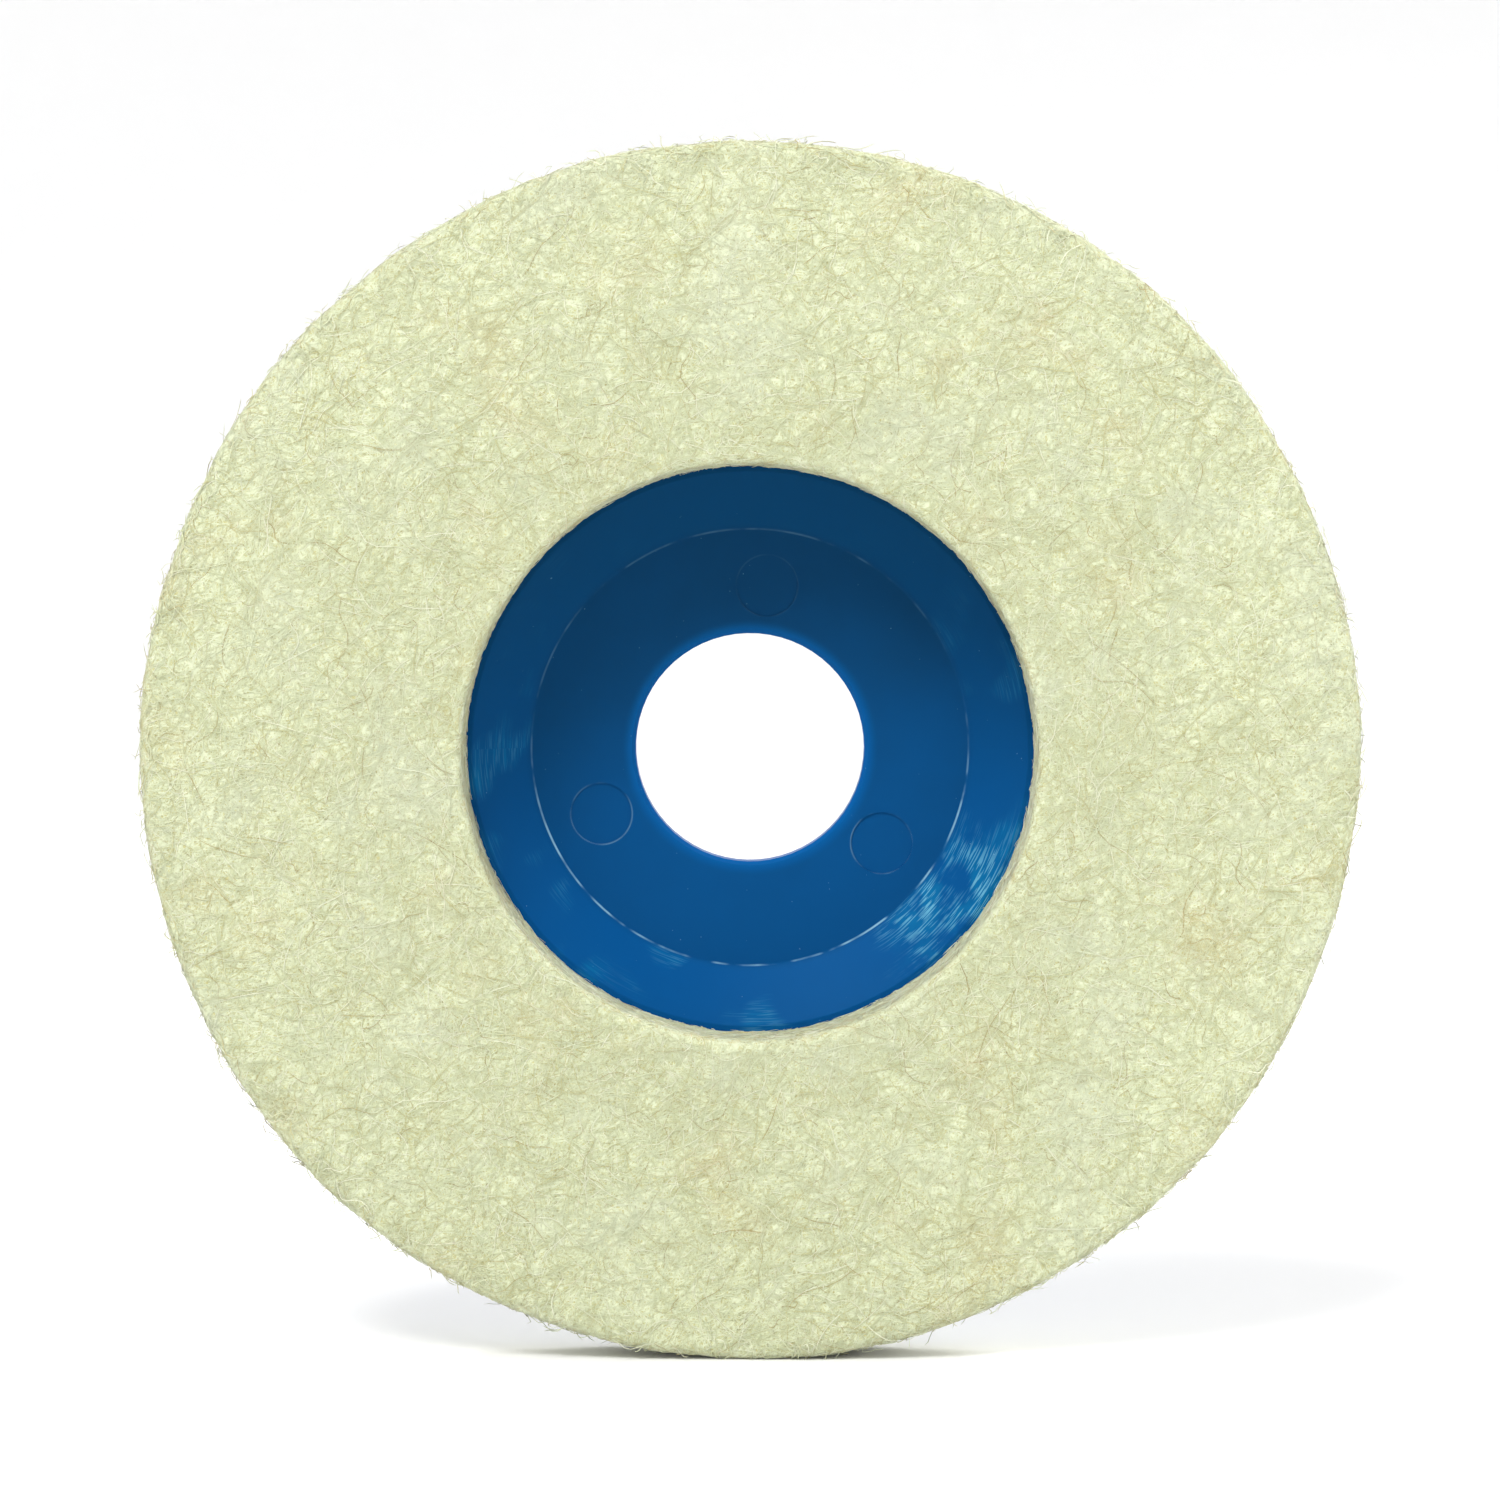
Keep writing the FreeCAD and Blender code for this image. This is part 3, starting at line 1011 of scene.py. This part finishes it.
def back_label():
    """The printed sheet on the plate's back, closed all round."""
    shapes = band_and_stripes() + leg_text() + outlined_words() + turning_sign() + plain_signs()
    shapes += numerals(*NUMERALS_PLACE, NUMERALS_HEIGHT)
    drawn, triangles, inks = printed_sheet(shapes)
    count = len(drawn)
    points = np.zeros((2 * count, 3))
    points[:, 0] = np.tile(-drawn[:, 0], 2) * MM
    points[:, 2] = np.tile(drawn[:, 1], 2) * MM
    points[:count, 1] = LABEL_HIGH.y
    points[count:, 1] = LABEL_LOW.y
    rim = open_edges(triangles)
    walls = np.stack([rim[:, 1], rim[:, 0], rim[:, 0] + count, rim[:, 1] + count], axis=1)
    faces = [triangles, triangles[:, ::-1] + count, walls]
    slots = np.concatenate([inks, np.zeros(len(triangles) + len(walls), int)])
    piece = new_piece("printed_label", points, faces, [label_ink(ink) for ink in LABEL_INKS], slots)
    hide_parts("back_label")
    ride(piece)


INK_COLOURS = {
    "paper": linear(226, 223, 227),
    "navy": linear(4, 34, 84),
    "stripe": linear(110, 155, 150),
    "black": linear(20, 20, 24),
    "red": linear(176, 34, 38),
}
STRIPE_FADED = linear(212, 218, 220)


def label_ink(ink):
    """Satin coated paper under one ink, with its fibres showing a little through the colour."""
    nodes = Nodes("label_" + ink)
    colour = INK_COLOURS[ink]
    if ink == "stripe":
        height = nodes.add("SeparateXYZ", {0: nodes.place}).outputs["Z"]
        faded = nodes.step(height, 0.6 * LABEL_OUTER, -0.3 * LABEL_OUTER)
        colour = nodes.mix(faded, colour, STRIPE_FADED)
    fibre = nodes.noise(0.3 * MM, 3.0, roughness=0.6)
    shading = nodes.mix(fibre, grey(0.88), grey(1.06))
    colour = nodes.mix(1.0, colour, shading, "MULTIPLY")
    dust = nodes.step(nodes.noise(0.5 * MM, 1.0, seed=4.0), 0.74, 0.78)
    colour = nodes.mix(nodes.times(dust, 0.25), colour, INK_COLOURS["paper"])
    roughness = nodes.maths("MULTIPLY_ADD", fibre, 0.15, 0.32)
    return nodes.finish(
        Base_Color=colour,
        Roughness=roughness,
        Specular_IOR_Level=0.08,
        Normal=nodes.bump(fibre, 0.01 * MM, 0.5),
    )


# ---- Stage --------------------------------------------------------------------------------

STAGE_FLAT_RADIUS = 0.9
STAGE_WALL_RADIUS = 1.5
STAGE_WALL_HEIGHT = 1.2
STAGE_SIDES = 128
STAGE_GAP = 0.12 * MM  # under the pad, for the loose wool

SKY_STRENGTH = 0.26
LAMP_SIZE = 0.5
LAMPS = {  # place and power
    "key_light": ((-0.35, -0.68, 1.05), 12.3),
    "back_light": ((0.5, 0.7, 0.9), 7.8),
    "side_light": ((0.95, -0.1, 0.5), 3.4),
}

LENS = 100  # mm
CAMERA_DISTANCE = 0.4
CAMERA_ELEVATION = math.radians(3)


def studio_floor():
    """A pale round floor that curves up into a wall on every side."""
    bend = STAGE_WALL_RADIUS - STAGE_FLAT_RADIUS
    outline = [(0.0, 0.0), (STAGE_FLAT_RADIUS / 2, 0.0)]
    outline += arc(STAGE_FLAT_RADIUS, bend, bend, 270, 360, steps=24)
    outline += [(STAGE_WALL_RADIUS, STAGE_WALL_HEIGHT)]
    sides = STAGE_SIDES
    angles = np.linspace(0, 2 * math.pi, sides, endpoint=False)
    points = [(r * math.cos(a), r * math.sin(a), h) for a in angles for r, h in outline[1:]]
    points = np.array(points + [(0.0, 0.0, 0.0)])
    points[:, 2] -= FELT_RADIUS + STAGE_GAP
    rows = len(outline) - 1
    index = np.arange(sides * rows).reshape(sides, rows)
    following = np.roll(index, -1, axis=0)
    quads = np.stack([index[:, :-1], index[:, 1:], following[:, 1:], following[:, :-1]], axis=-1)
    hub = np.stack([np.full(sides, sides * rows), index[:, 0], following[:, 0]], axis=-1)
    floor = new_piece("studio_floor", points, [quads.reshape(-1, 4), hub], [stage_paint()])
    floor.data.shade_smooth()


def stage_paint():
    """Matt white paint with wide, faint clouds."""
    nodes = Nodes("stage_paint")
    tone = nodes.mix(nodes.noise(0.4), grey(0.93), grey(0.96))
    return nodes.finish(Base_Color=tone, Roughness=0.9, Specular_IOR_Level=0.1)


def softbox(name, place, power):
    """A square lamp that looks at the pad's hub."""
    light = bpy.data.lights.new(name, "AREA")
    light.size = LAMP_SIZE
    light.energy = power
    lamp = bpy.data.objects.new(name, light)
    lamp.location = place
    lamp.rotation_euler = (-Vector(place)).to_track_quat("-Z", "Y").to_euler()
    bpy.context.scene.collection.objects.link(lamp)


def studio_lights():
    """An even white sky and the softboxes."""
    world = bpy.data.worlds.new("studio")
    world.use_nodes = True
    sky = world.node_tree.nodes["Background"]
    sky.inputs["Color"].default_value = grey(1.0)
    sky.inputs["Strength"].default_value = SKY_STRENGTH
    bpy.context.scene.world = world
    for name, (place, power) in LAMPS.items():
        softbox(name, place, power)


def camera():
    """A long lens in front of the felt face, a little above the spindle axis."""
    data = bpy.data.cameras.new("camera")
    data.lens = LENS
    view = bpy.data.objects.new("camera", data)
    bpy.context.scene.collection.objects.link(view)
    middle = (cad_box[0] + cad_box[1]) / 2
    away = Vector((0, -math.cos(CAMERA_ELEVATION), math.sin(CAMERA_ELEVATION)))
    view.location = middle + CAMERA_DISTANCE * away
    view.rotation_euler = (middle - view.location).to_track_quat("-Z", "Y").to_euler()
    bpy.context.scene.camera = view


# ---- Build --------------------------------------------------------------------------------

dress("backing_plate", hub_plastic())
dress("adhesive_film", hot_melt())
back_label()
felt_body(wool_felt())
wool_fibres()
studio_floor()
studio_lights()
camera()
bpy.context.scene.view_settings.view_transform = "Standard"
